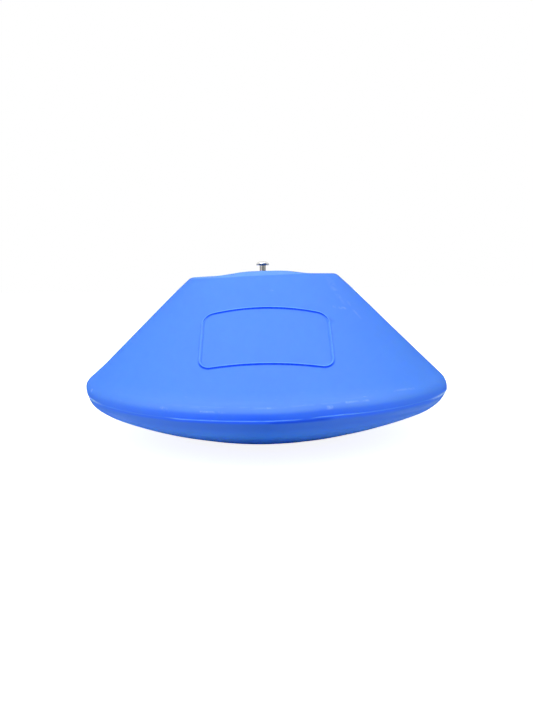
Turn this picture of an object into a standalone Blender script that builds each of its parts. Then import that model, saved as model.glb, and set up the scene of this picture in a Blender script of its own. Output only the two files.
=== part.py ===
"""Net float: a hollow moulded buoy body with a headed stud screwed into its crown.

The body is one turned moulding. A flat crown rises a little over a narrow top
land, a straight cone runs down from it to a round shoulder, and a shallow dome
closes the underside from the parting line to a flat foot. A raised bead draws
an empty rounded panel on the front of the cone. Units are metres, +Z is up, the
panel faces -Y, and the origin is the middle of the foot.
"""

import math

import bmesh
import bpy
from mathutils import Vector

# Body, upper half
RIM_RADIUS = 0.178
SHOULDER_RADIUS = 0.0154
SHOULDER_RISE = 0.0015
TOP_RADIUS = 0.0738
TOP_HEIGHT = 0.1100
TOP_LAND_SLOPE = 0.04
TOP_EDGE_RADIUS = 0.003
CROWN_FOOT_RADIUS = 0.044
CROWN_FLAT_RADIUS = 0.020
CROWN_RISE = 0.0035
CROWN_ROUND_RADIUS = 0.120

# Body, lower half
UNDERCUT_ANGLE = math.radians(25.1)
BILGE_RADIUS = 0.0296
DOME_RADIUS = 0.3841
FOOT_RADIUS = 0.060

# Parting line
RIDGE_HEIGHT = 0.0007
RIDGE_WIDTH = 0.0016

# Panel frame on the cone
PANEL_WIDTH = 0.1134
PANEL_HEIGHT = 0.0623
PANEL_CORNER_RADIUS = 0.010
BEAD_RADIUS = 0.0020
BEAD_SPACING = 0.0042

# Stud
HEAD_RADIUS = 0.0064
HEAD_HEIGHT = 0.0043
HEAD_SIDE_HEIGHT = 0.0012
HEAD_CROWN_RADIUS = 0.0040
SHANK_RADIUS = 0.00315
SHANK_SHOWING = 0.0052
SHANK_GRIP = 0.0184
TIP_CHAMFER = 0.0008
RECESS_SPAN = 0.0056
RECESS_WIDTH = 0.0013
RECESS_DEPTH = 0.0022
RECESS_TAPER = 0.55
RECESS_TURN = math.radians(20)

# Moulded-in insert
INSERT_WALL = 0.00235
INSERT_FLOOR = 0.0030
GROOVE_DEPTH = 0.0011
GROOVE_WIDTH = 0.0034
GROOVE_COUNT = 2

# Clearances
SEAT_GAP = 0.0003
THREAD_GAP = 0.0003
STUD_TIP_GAP = 0.0006

# Facets
BODY_STEPS = 96
HARDWARE_STEPS = 32
BEAD_SIDE_RESOLUTION = 4
CROWN_ROUND_STEPS = 3
TOP_EDGE_STEPS = 4
SHOULDER_STEPS = 7
BILGE_STEPS = 4
DOME_STEPS = 6
HEAD_ROUND_STEPS = 6
WELD_DISTANCE = 0.00001
SHARP_ANGLE = math.radians(28)

BODY_BLUE = (0.105, 0.300, 0.930, 1.0)
STEEL_GREY = (0.640, 0.640, 0.620, 1.0)
BRASS_YELLOW = (0.720, 0.500, 0.210, 1.0)


def arc(centre, radius, start, end, count):
    """Points of an arc in the profile plane, angles in radians from +X towards +Z."""
    turn = (end - start) / count
    return [
        (
            centre[0] + radius * math.cos(start + turn * i),
            centre[1] + radius * math.sin(start + turn * i),
        )
        for i in range(count + 1)
    ]


def fillet(before, corner, after, radius, count):
    """The round that replaces a corner of the profile, shortened where its sides are short."""
    corner = Vector(corner)
    towards = (Vector(before) - corner).normalized()
    onwards = (Vector(after) - corner).normalized()
    half = towards.angle(onwards) / 2
    side = min((Vector(before) - corner).length, (Vector(after) - corner).length)
    reach = min(radius / math.tan(half), 0.9 * side)
    radius = reach * math.tan(half)
    centre = corner + (towards + onwards).normalized() * (radius / math.sin(half))
    first = corner + towards * reach - centre
    last = corner + onwards * reach - centre
    start = math.atan2(first.y, first.x)
    turn = (math.atan2(last.y, last.x) - start + math.pi) % (2 * math.pi) - math.pi
    return arc(centre, radius, start, start + turn, count)


class Levels:
    """Heights and angles of the body that follow from the driving dimensions, from the foot up."""

    def __init__(self):
        bilge = (
            RIM_RADIUS - BILGE_RADIUS * math.cos(UNDERCUT_ANGLE),
            BILGE_RADIUS * math.sin(UNDERCUT_ANGLE),
        )
        dome_centre = bilge[1] + math.sqrt((DOME_RADIUS - BILGE_RADIUS) ** 2 - bilge[0] ** 2)
        foot = dome_centre - math.sqrt(DOME_RADIUS**2 - FOOT_RADIUS**2)
        self.seam = -foot
        self.bilge = (bilge[0], bilge[1] + self.seam)
        self.dome_centre = dome_centre + self.seam
        self.bilge_end = math.atan2(self.bilge[1] - self.dome_centre, self.bilge[0])
        self.dome_end = math.atan2(-self.dome_centre, FOOT_RADIUS)
        self.shoulder = (RIM_RADIUS - SHOULDER_RADIUS, self.seam + SHOULDER_RISE)
        self.top = self.seam + TOP_HEIGHT
        self.crown_foot = self.top + (TOP_RADIUS - CROWN_FOOT_RADIUS) * TOP_LAND_SLOPE
        self.crown = self.crown_foot + CROWN_RISE
        self.cone_slope, self.flank_end = self.tangent_to_shoulder()
        self.apex = self.top + TOP_RADIUS / math.tan(self.cone_slope)

    def tangent_to_shoulder(self):
        """The cone's half-angle, and the radius at which its straight side meets the shoulder."""
        across = self.shoulder[0] - TOP_RADIUS
        down = self.top - self.shoulder[1]
        distance = math.hypot(across, down)
        slope = math.atan2(across, down) + math.asin(SHOULDER_RADIUS / distance)
        return slope, self.shoulder[0] + SHOULDER_RADIUS * math.cos(slope)


LEVELS = Levels()


def insert_length():
    """The insert is as deep as the stud's grip, its tip gap and the closed floor need."""
    return SHANK_GRIP + STUD_TIP_GAP + INSERT_FLOOR


def insert_outline(gap):
    """The insert's outer side from top to bottom, moved out by a gap, with its grooves."""
    wall = SHANK_RADIUS + THREAD_GAP + INSERT_WALL + gap
    root = wall - GROOVE_DEPTH
    length = insert_length()
    pitch = length / GROOVE_COUNT
    half_groove = GROOVE_WIDTH / 2 - gap
    points = [(wall, LEVELS.crown)]
    for i in range(GROOVE_COUNT):
        centre = LEVELS.crown - pitch * (i + 0.5)
        upper = centre + half_groove
        lower = centre - half_groove
        points += [(wall, upper), (root, upper), (root, lower), (wall, lower)]
    points.append((wall, LEVELS.crown - length - gap))
    return points


def body_profile():
    """The body's section: up the insert pocket, out over the crown and down to the foot."""
    pocket = insert_outline(SEAT_GAP)
    pocket.reverse()
    crown_edge = (CROWN_FLAT_RADIUS, LEVELS.crown)
    crown_foot = (CROWN_FOOT_RADIUS, LEVELS.crown_foot)
    top_edge = (TOP_RADIUS, LEVELS.top)
    flank_low = (LEVELS.flank_end, LEVELS.apex - LEVELS.flank_end / math.tan(LEVELS.cone_slope))
    middle = tuple((a + b) / 2 for a, b in zip(crown_edge, crown_foot))
    points = [(0.0, pocket[0][1])] + pocket
    points += fillet(pocket[-1], crown_edge, middle, CROWN_ROUND_RADIUS, CROWN_ROUND_STEPS)
    points += fillet(middle, crown_foot, top_edge, CROWN_ROUND_RADIUS, CROWN_ROUND_STEPS)
    points += fillet(crown_foot, top_edge, flank_low, TOP_EDGE_RADIUS, TOP_EDGE_STEPS)
    half_ridge = RIDGE_WIDTH / 2
    ridge_turn = math.asin((half_ridge - SHOULDER_RISE) / SHOULDER_RADIUS)
    points += arc(LEVELS.shoulder, SHOULDER_RADIUS, LEVELS.cone_slope, ridge_turn, SHOULDER_STEPS)
    points.append((RIM_RADIUS + RIDGE_HEIGHT, LEVELS.seam + half_ridge / 3))
    points.append((RIM_RADIUS + RIDGE_HEIGHT, LEVELS.seam - half_ridge / 3))
    bilge_start = -UNDERCUT_ANGLE - half_ridge / BILGE_RADIUS
    points += arc(LEVELS.bilge, BILGE_RADIUS, bilge_start, LEVELS.bilge_end, BILGE_STEPS)
    dome_centre = (0.0, LEVELS.dome_centre)
    points += arc(dome_centre, DOME_RADIUS, LEVELS.bilge_end, LEVELS.dome_end, DOME_STEPS)[1:]
    points.append((0.0, 0.0))
    return points


def insert_profile():
    """The insert's section: its floor and bore, then its grooved outer side."""
    bore = SHANK_RADIUS + THREAD_GAP
    top = LEVELS.crown
    bottom = top - insert_length()
    inside = [(0.0, bottom + INSERT_FLOOR), (bore, bottom + INSERT_FLOOR), (bore, top)]
    return inside + insert_outline(0.0) + [(0.0, bottom)]


def stud_profile():
    """The stud's section from the top of its pan head down to its tip."""
    under_head = LEVELS.crown + SHANK_SHOWING
    side_top = under_head + HEAD_SIDE_HEIGHT
    head_top = under_head + HEAD_HEIGHT
    flat = HEAD_RADIUS - HEAD_CROWN_RADIUS
    points = [(0.0, head_top)]
    for across, up in arc((0.0, 0.0), 1.0, math.pi / 2, 0.0, HEAD_ROUND_STEPS):
        points.append((flat + HEAD_CROWN_RADIUS * across, side_top + (head_top - side_top) * up))
    points += [(HEAD_RADIUS, under_head), (SHANK_RADIUS, under_head)]
    tip = LEVELS.crown - SHANK_GRIP
    points += [(SHANK_RADIUS, tip + TIP_CHAMFER), (SHANK_RADIUS - TIP_CHAMFER, tip), (0.0, tip)]
    return points


def panel_point(across, along):
    """A point of the flat panel drawing rolled onto the cone; along is measured from the apex."""
    distance = math.hypot(across, along)
    azimuth = math.atan2(across, along) / math.sin(LEVELS.cone_slope)
    radius = distance * math.sin(LEVELS.cone_slope)
    height = LEVELS.apex - distance * math.cos(LEVELS.cone_slope)
    return Vector((radius * math.sin(azimuth), -radius * math.cos(azimuth), height))


def panel_outline():
    """The rounded rectangle of the panel's bead, as a closed run of points on the cone."""
    flank_top = TOP_RADIUS / math.sin(LEVELS.cone_slope)
    flank_low = LEVELS.flank_end / math.sin(LEVELS.cone_slope)
    middle = (flank_top + flank_low) / 2
    half_wide = PANEL_WIDTH / 2 - PANEL_CORNER_RADIUS
    half_high = PANEL_HEIGHT / 2 - PANEL_CORNER_RADIUS
    quarter_steps = max(3, round(PANEL_CORNER_RADIUS * math.pi / 2 / BEAD_SPACING))
    corners = []
    for index, (side, level) in enumerate(((1, 1), (-1, 1), (-1, -1), (1, -1))):
        centre = (side * half_wide, middle + level * half_high)
        start = index * math.pi / 2
        corners.append(arc(centre, PANEL_CORNER_RADIUS, start, start + math.pi / 2, quarter_steps))
    flat = []
    for corner, following in zip(corners, corners[1:] + corners[:1]):
        start = Vector(corner[-1])
        end = Vector(following[0])
        steps = max(2, round((end - start).length / BEAD_SPACING))
        flat += corner
        flat += [tuple(start.lerp(end, i / steps)) for i in range(1, steps)]
    return [panel_point(across, along) for across, along in flat]


def new_collection(name):
    collection = bpy.data.collections.new(name)
    bpy.context.scene.collection.children.link(collection)
    return collection


def new_material(name, colour, roughness, metallic):
    material = bpy.data.materials.new(name)
    material.use_nodes = True
    shader = material.node_tree.nodes["Principled BSDF"]
    shader.inputs["Base Color"].default_value = colour
    shader.inputs["Roughness"].default_value = roughness
    shader.inputs["Metallic"].default_value = metallic
    material.diffuse_color = colour
    return material


def turned(name, profile, steps, material, collection):
    """A solid of revolution: the profile is spun by a Screw modifier and shaded smooth."""
    mesh = bpy.data.meshes.new(name)
    mesh.from_pydata(
        [(radius, 0.0, height) for radius, height in profile],
        [(i, i + 1) for i in range(len(profile) - 1)],
        [],
    )
    obj = bpy.data.objects.new(name, mesh)
    collection.objects.link(obj)
    spin = obj.modifiers.new("spin", "SCREW")
    spin.axis = "Z"
    spin.steps = steps
    spin.render_steps = steps
    spin.use_merge_vertices = True
    spin.merge_threshold = WELD_DISTANCE
    spin.use_smooth_shade = True
    mesh.materials.append(material)
    return obj


def applied(obj):
    """The object with its modifiers baked into its mesh."""
    graph = bpy.context.evaluated_depsgraph_get()
    mesh = bpy.data.meshes.new_from_object(obj.evaluated_get(graph))
    obj.modifiers.clear()
    obj.data = mesh
    return obj


def make_bead(collection):
    """The panel's half-round bead as a closed tube whose centre line lies on the cone."""
    curve = bpy.data.curves.new("panel_bead", "CURVE")
    curve.dimensions = "3D"
    curve.bevel_depth = BEAD_RADIUS
    curve.bevel_resolution = BEAD_SIDE_RESOLUTION
    points = panel_outline()
    spline = curve.splines.new("POLY")
    spline.points.add(len(points) - 1)
    for target, point in zip(spline.points, points):
        target.co = (*point, 1.0)
    spline.use_cyclic_u = True
    tube = bpy.data.objects.new("panel_bead_curve", curve)
    collection.objects.link(tube)
    graph = bpy.context.evaluated_depsgraph_get()
    mesh = bpy.data.meshes.new_from_object(tube.evaluated_get(graph))
    mesh.name = "panel_bead"
    bead = bpy.data.objects.new("panel_bead", mesh)
    bead.matrix_world = tube.matrix_world
    collection.objects.link(bead)
    bpy.data.objects.remove(tube)
    work = bmesh.new()
    work.from_mesh(mesh)
    bmesh.ops.remove_doubles(work, verts=work.verts, dist=WELD_DISTANCE)
    bmesh.ops.recalc_face_normals(work, faces=work.faces)
    work.to_mesh(mesh)
    work.free()
    as_cutter(bead)
    return bead


def as_cutter(obj):
    obj.hide_render = True
    obj.display_type = "WIRE"


def join_or_cut(target, other, operation):
    modifier = target.modifiers.new(other.name, "BOOLEAN")
    modifier.operation = operation
    modifier.solver = "EXACT"
    modifier.object = other


def make_body(parts, cutters, material):
    body = applied(turned("float_body", body_profile(), BODY_STEPS, material, parts))
    join_or_cut(body, make_bead(cutters), "UNION")
    applied(body)
    body.data.shade_smooth()
    body.data.set_sharp_from_angle(angle=SHARP_ANGLE)
    return body


def make_recess_blade(name, angle, collection):
    """One tapered arm of the cross recess, a block narrowed towards its lower end."""
    top = LEVELS.crown + SHANK_SHOWING + HEAD_HEIGHT
    height = RECESS_DEPTH * 2
    mesh = bpy.data.meshes.new(name)
    work = bmesh.new()
    bmesh.ops.create_cube(work, size=1.0)
    bmesh.ops.scale(work, vec=(RECESS_SPAN, RECESS_WIDTH, height), verts=work.verts)
    lower = [vert for vert in work.verts if vert.co.z < 0]
    bmesh.ops.scale(work, vec=(RECESS_TAPER, RECESS_TAPER, 1.0), verts=lower)
    work.to_mesh(mesh)
    work.free()
    blade = bpy.data.objects.new(name, mesh)
    blade.location = (0.0, 0.0, top)
    blade.rotation_euler = (0.0, 0.0, angle)
    collection.objects.link(blade)
    as_cutter(blade)
    return blade


def make_stud(parts, cutters, material):
    stud = turned("headed_stud", stud_profile(), HARDWARE_STEPS, material, parts)
    for index, angle in enumerate((RECESS_TURN, RECESS_TURN + math.pi / 2)):
        blade = make_recess_blade(f"recess_blade_{index + 1}", angle, cutters)
        join_or_cut(stud, blade, "DIFFERENCE")
    return stud


def make_insert(parts, material):
    return turned("threaded_insert", insert_profile(), HARDWARE_STEPS, material, parts)


def main():
    for obj in list(bpy.data.objects):
        bpy.data.objects.remove(obj, do_unlink=True)
    parts = new_collection("net_float")
    cutters = new_collection("cutters")
    make_body(parts, cutters, new_material("blue_moulded_plastic", BODY_BLUE, 0.45, 0.0))
    make_stud(parts, cutters, new_material("polished_steel", STEEL_GREY, 0.15, 1.0))
    make_insert(parts, new_material("brass", BRASS_YELLOW, 0.30, 1.0))


if __name__ == "__main__":
    main()
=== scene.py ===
"""Looks of the net float: the moulded plastic body, its bright stud and brass insert, and a plain studio.

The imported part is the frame. The body is rebuilt here as one fine turned skin with its panel bead, parting
ridge and the moulding's unevenness; the stud is rebuilt with soft edges; the insert keeps its solid's mesh.
Units are metres.
"""

import math

import bmesh
import bpy
import numpy as np
from bpy.props import FloatProperty, FloatVectorProperty, IntProperty, PointerProperty
from mathutils import Matrix, Vector


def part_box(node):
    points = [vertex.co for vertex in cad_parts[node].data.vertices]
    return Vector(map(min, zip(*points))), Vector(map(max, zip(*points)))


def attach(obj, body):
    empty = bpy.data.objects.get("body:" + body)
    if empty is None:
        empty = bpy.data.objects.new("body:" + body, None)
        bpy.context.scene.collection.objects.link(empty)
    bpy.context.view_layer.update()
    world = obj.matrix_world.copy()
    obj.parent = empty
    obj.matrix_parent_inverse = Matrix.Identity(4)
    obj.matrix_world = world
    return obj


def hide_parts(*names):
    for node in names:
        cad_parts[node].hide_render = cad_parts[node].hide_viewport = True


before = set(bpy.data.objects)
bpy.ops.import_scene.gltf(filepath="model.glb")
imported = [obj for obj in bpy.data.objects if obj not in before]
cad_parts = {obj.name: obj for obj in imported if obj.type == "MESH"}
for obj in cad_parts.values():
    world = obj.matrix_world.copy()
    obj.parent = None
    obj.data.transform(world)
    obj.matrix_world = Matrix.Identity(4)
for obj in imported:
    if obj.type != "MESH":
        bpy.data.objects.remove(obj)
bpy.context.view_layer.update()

bl_info = {
    "name": "Net Float",
    "version": (1, 0, 0),
    "blender": (4, 5, 0),
    "location": "View3D > Sidebar > Net Float",
    "description": "Dresses a moulded net float and sets a plain studio round it",
    "category": "Object",
}

BODY = "root"
BODY_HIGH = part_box("float_body")[1]
STUD_LOW, STUD_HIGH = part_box("headed_stud")
INSERT_LOW, INSERT_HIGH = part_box("threaded_insert")
MM = 0.001
FITTING_SIDE = -0.0016  # where the stud and its insert stand across the front
STUD_COLUMNS = 72
SHARP_ANGLE = math.radians(35)
WELD = 2e-6  # distance under which the points of a cut are one point
FLOOR_HALF = 6.0
SQUARE = ((-1, -1), (1, -1), (1, 1), (-1, 1))

# Heights from the parting line between which the plastic's bands fade in, as (start, full).
# Painted light and shade: the lighter flank colour fades in over the first two; above the third, faces turned
# away from the light take the rim's painted shade.
FAINT_LIGHT = (0.0, 0.004)
FULL_LIGHT = (0.0038, 0.0076)
FLANK_START = (0.012, 0.015)
BELOW_SEAM = (-0.001, -0.004)
# Painted shade on the underside: its lower colour and its deep blue near the foot fade in between these
# heights.
LOWER_SIDE = (-0.006, -0.02)
NEAR_FOOT = (-0.026, -0.04)
# Painted highlight with scuffs on the shoulder, between these heights.
SHOULDER_START = (0.0045, 0.009)
SHOULDER_END = (0.021, 0.011)
# The middle and the half width of the lines that follow the parting line: the shoulder's painted highlight
# with scuffs, the pale seam, and the painted shadow under the ridge.
SHOULDER_LINE = (0.0098, 0.0014)
PALE_LINE = (0.0, 0.0019)
RIDGE_SHADOW_LINE = (-0.0019, 0.0017)
# Where across the front the painted shadow under the ridge starts and ends.
RIDGE_SHADOW_START = (-0.004, 0.008)
RIDGE_SHADOW_END = (0.056, 0.042)
# Reach from the axis at which the crown's painted light starts, and its skew towards the front's left.
CROWN_EDGE = (0.067, 0.0592)
CROWN_SKEW = 0.3
SKEW_DEPTH = (0.0, -0.045)

# The moulding's unevenness by azimuth from the front: degrees, then millimetres of parting line rise, of
# fullness of the underside, of the shoulder and of the rim, and last the share of the ridge that stands.
UNEVEN = np.array((
    (-180, 0, 0, 0, 0, 0.4),
    (-110, 2.0, 0.2, 0, -0.6, 0.3),
    (-80, 2.4, 0, -0.1, -1.0, 0.2),
    (-60, 0.7, 0, 0.4, -0.8, 0.5),
    (-50, 0.9, 0.35, 0.2, 0, 0.3),
    (-28, 0.1, -0.05, 0, 0, 0.1),
    (-22, -0.4, 0.1, 0, 0, 0.8),
    (0, -0.4, 0.2, 0, 0, 0.8),
    (6, 0, 0.1, 0, 0, 0.6),
    (10, 0.6, 0, 0, 0, 0),
    (14, 1.5, -0.05, 0, 0, 0.6),
    (20, 1.8, -0.3, 0, 0, 0.8),
    (27, 1.6, -0.3, 0, 0, 0.5),
    (36, 1.7, -0.6, 0, 0, 0.3),
    (45, 1.9, -0.35, 0, 0, 0.2),
    (60, 1.3, 0.5, 0, 0.5, 0.6),
    (75, 0.5, 1.2, 0, 0.5, 0.6),
    (90, 0, 0.8, 0, 0.2, 0.3),
    (115, 0, 0, 0, 0, 0.3),
    (180, 0, 0, 0, 0, 0.4),
))

# Rubbed marks on the plastic: both ends of the mark and its half width in millimetres, and its strength.
MARKS = (
    ((61.7, -49.4, 151.5), (64, -58, 144), 8, 0.15),
    ((65.5, -61, 141), (70, -70, 131), 5, 0.12),
    ((61.2, -81.9, 127.5), (71.5, -75.5, 126.2), 2.6, 0.36),
    ((73.3, -61.8, 135.5), (78.3, -65.9, 129), 3, 0.18),
    ((80, -70, 124), (86, -74, 117), 3, 0.2),
    ((-83.6, -155.9, 53.5), (-77.5, -159.5, 52.1), 2.2, 0.45),
    ((-51.2, -169.7, 52.6), (-31.5, -174.4, 52.5), 1.2, 0.45),
    ((1, -175, 55.3), (3, -175, 55.1), 1.6, 0.7),
    ((47.4, -170.2, 54.3), (50.2, -169.2, 54.5), 2.4, 0.7),
    ((62.3, -163.8, 56.6), (80.7, -155.6, 56.4), 1.8, 0.8),
    ((-48.2, -67.2, 147.5), (-47, -68, 147), 2.4, 0.3),
    ((6.2, -86.5, 143.5), (7, -86.5, 142.5), 2.2, 0.25),
    ((-158.3, -76.5, 55.7), (-157, -79, 55.2), 2.4, 0.8),
    ((105, -137, 61), (125, -120, 60), 1.8, 0.22),
)


# The kinds of settings: plain numbers, lengths in metres, angles given in degrees, and colours.
def number(name, description, default, **kind):
    return FloatProperty(name=name, description=description, default=default, **kind)


def length(name, description, default):
    return number(name, description, default, unit="LENGTH")


def angle(name, description, degrees):
    return number(name, description, math.radians(degrees), subtype="ANGLE")


def tint(name, where, default):
    shown = {"name": name, "description": f"Colour of {where}", "subtype": "COLOR"}
    return FloatVectorProperty(**shown, size=3, min=0.0, max=1.0, default=default)


class FloatBodySettings(bpy.types.PropertyGroup):
    """Sizes and colours of the moulded body."""

    ridge_height: length("Ridge height", "Height of the parting ridge", 0.0005)
    ridge_width: length("Ridge width", "Width of the parting ridge", 0.0013)
    shoulder_radius: length("Shoulder radius", "Round between cone and rim", 0.0125)
    shoulder_rise: length("Shoulder rise", "Widest circle above the parting line", 0.0027)
    top_radius: length("Top radius", "Radius of the edge of the top land", 0.0738)
    top_height: length("Top height", "Top edge above the parting line", 0.11)
    top_tilt: number("Top tilt", "Slope of the top land across the front", 0.014)
    top_lift: length("Top lift", "Lift of the top land at both sides", 0.0003)
    top_draw: length("Top draw", "How far the flank bends in at its upper end", 0.0012)
    top_edge_radius: length("Top edge radius", "Round on the top edge", 0.008)
    crown_foot_radius: length("Crown foot radius", "Where the crown meets the top land", 0.044)
    crown_flat_radius: length("Crown flat radius", "Where the flat of the crown ends", 0.02)
    crown_rise: length("Crown rise", "Height of the crown over its foot", 0.0035)
    crown_round: length("Crown round", "Radius of the crown's soft bends", 0.12)
    undercut: angle("Undercut", "Angle at which the underside leaves the rim", 25.1)
    bilge_radius: length("Bilge radius", "Round between rim and dome", 0.0296)
    dome_radius: length("Dome radius", "Radius of the domed underside", 0.3841)
    foot_radius: length("Foot radius", "Radius of the flat foot", 0.06)
    panel_width: length("Panel width", "Width of the panel frame", 0.1114)
    panel_height: length("Panel height", "Height of the panel frame", 0.0614)
    panel_lift: length("Panel lift", "How far the panel sits above the middle of the flank", 0.001)
    panel_shift: length("Panel shift", "How far the panel sits to the right", 0.0006)
    panel_corner: length("Panel corner", "Corner radius of the panel frame", 0.01)
    bead_half_width: length("Bead half width", "Half width of the panel's bead", 0.0014)
    bead_height: length("Bead height", "Height of the panel's bead", 0.0009)
    ripple: length("Ripple", "Depth of the moulding's slow unevenness", 0.00012)
    fine_step: length("Fine step", "Mesh spacing on the panel's bead", 0.00032)
    coarse_columns: IntProperty(
        name="Coarse columns", description="Mesh columns round the rest of the body", default=100, min=24
    )
    # The flank's colour where it faces the light; the rim's and the underside's colours further on are
    # painted shade.
    blue: tint("Plastic", "the plastic where it is lit", (0.1, 0.268, 0.95))
    # Painted shade: the flank a little darker at both sides.
    side_blue: tint("Side plastic", "the flank at both sides", (0.09, 0.266, 0.94))
    # Painted shade under the bead, and the painted shadow under the ridge.
    shade_blue: tint("Bead shade", "the shading line under the bead", (0.003, 0.052, 0.72))
    # Painted shade on the rim: its weaker colour at both sides.
    rim_side_blue: tint("Rim at the sides", "the rim at both sides", (0.102, 0.285, 1.0))
    pale_blue: tint("Pale seam", "the seam's whitish ends at both sides", (0.46, 0.7, 1.0))
    # Painted shade on the rim band at the front and back.
    rim_shade_blue: tint("Rim plastic", "the shaded plastic of the rim", (0.022, 0.127, 1.0))
    # Painted shade and light on the underside: darker at the front and back, lighter at the sides and lower
    # down, deep blue near the foot.
    under_shade_blue: tint("Underside plastic", "the underside at the front and back", (0.038, 0.144, 0.65))
    under_side_blue: tint("Underside at the sides", "the underside at the sides", (0.115, 0.285, 1.0))
    under_low_blue: tint("Low underside", "the underside towards the foot", (0.066, 0.305, 1.0))
    under_low_side_blue: tint("Low sides", "the underside's sides towards the foot", (0.2, 0.44, 1.0))
    foot_shade_blue: tint("Foot plastic", "the plastic near the foot", (0.022, 0.14, 1.0))
    # Scuffs and a painted highlight on the crests of the bead and the seam.
    worn_and_lit_blue: tint("Worn edges", "the bead's and the seam's worn edges", (0.19, 0.49, 1.0))
    # Painted light on the level crown.
    crown_light_blue: tint("Crown plastic", "the plastic of the level top", (0.16, 0.36, 1.0))
    # Scuffs and marks, and the painted highlight along the shoulder.
    scuff_and_sheen: tint("Scuff", "rubbed plastic", (0.3, 0.52, 0.98))


class StudSettings(bpy.types.PropertyGroup):
    """Sizes and colours of the stud and the insert it is screwed into."""

    head_height: length("Head height", "Height of the pan head", 0.0039)
    head_side: length("Head side", "Straight side of the head", 0.0012)
    head_round: length("Head round", "Width of the round on the head", 0.004)
    shank_radius: length("Shank radius", "Radius of the shank", 0.00315)
    tip_chamfer: length("Tip chamfer", "Chamfer at the tip", 0.0008)
    edge_round: length("Edge round", "Softness of the head's lower edge", 0.0003)
    recess_span: length("Recess span", "Span of the cross recess", 0.0056)
    recess_width: length("Recess width", "Width of an arm of the recess", 0.0013)
    recess_depth: length("Recess depth", "Depth of the recess", 0.0022)
    recess_taper: number("Recess taper", "Narrowing of the recess towards its floor", 0.55)
    recess_turn: angle("Recess turn", "Turn of the recess", 20)
    steel: tint("Steel", "the polished steel", (0.9, 0.89, 0.86))
    # Painted reflections: the shank's lighter streaks; also the head's patches and painted shade on its top.
    dim_reflection_steel: tint("Dim steel", "the shank's bright streaks", (0.52, 0.49, 0.46))
    # Painted reflections: the shank's dark streaks.
    dark_reflection_steel: tint("Dark steel", "the shank's dark streaks", (0.17, 0.18, 0.17))
    # Painted reflection of the blue body on the head's lower band.
    blue_reflection_steel: tint("Bluish steel", "the head's lower band", (0.035, 0.075, 0.19))
    brass: tint("Brass", "the brass insert", (0.72, 0.5, 0.21))


class StageSettings(bpy.types.PropertyGroup):
    """Camera, lamps and floor."""

    camera_distance: length("Camera distance", "Level distance from the float's axis", 0.7)
    camera_height: length("Camera height", "Height over the floor", 0.15826)
    aim_height: length("Aim height", "Height of the point at the picture's centre", 0.0792)
    aim_side: length("Aim side", "Side step of the point at the picture's centre", 0.00088)
    camera_roll: angle("Camera roll", "Roll of the camera", -0.871)
    lens: number("Lens", "Focal length on a 36 mm long side", 35.52, min=10.0)
    overhead_power: number("Overhead lamp", "Power of the overhead soft box in watts", 14.4, min=0.0)
    front_power: number("Front lamp", "Power of the front soft box in watts", 1.8, min=0.0)
    room_light: number("Room light", "Even light from the room", 0.45, min=0.0)
    floor_white: number("Floor white", "Brightness that the floor shows to the camera", 0.88, min=0.0)


class Wire:
    """A node socket that takes part in Python arithmetic and adds Math nodes as it goes."""

    def __init__(self, nodes, socket):
        self.nodes = nodes
        self.socket = socket

    def math(self, operation, first, second=None):
        inputs = {0: first} if second is None else {0: first, 1: second}
        return self.nodes.add("ShaderNodeMath", {"operation": operation}, inputs)

    def __add__(self, other):
        return self.math("ADD", self, other)

    __radd__ = __add__

    def __sub__(self, other):
        return self.math("SUBTRACT", self, other)

    def __rsub__(self, other):
        return self.math("SUBTRACT", other, self)

    def __mul__(self, other):
        return self.math("MULTIPLY", self, other)

    __rmul__ = __mul__

    def __truediv__(self, other):
        return self.math("DIVIDE", self, other)

    def abs(self):
        return self.math("ABSOLUTE", self)

    def clamp(self):
        return self.nodes.add("ShaderNodeClamp", {}, {"Value": self})

    def ramp(self, low, high):
        """0 at low and 1 at high, smoothly; low may be the larger."""
        flipped = low > high
        start, end = (high, low) if flipped else (low, high)
        inputs = {"Value": self, "From Min": start, "From Max": end}
        rise = self.nodes.add("ShaderNodeMapRange", {"interpolation_type": "SMOOTHSTEP"}, inputs)
        return 1.0 - rise if flipped else rise

    def bump(self, centre, half_width):
        """1 at centre, falling smoothly to 0 a half width away."""
        return (self - centre).abs().ramp(half_width, 0.0)


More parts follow.
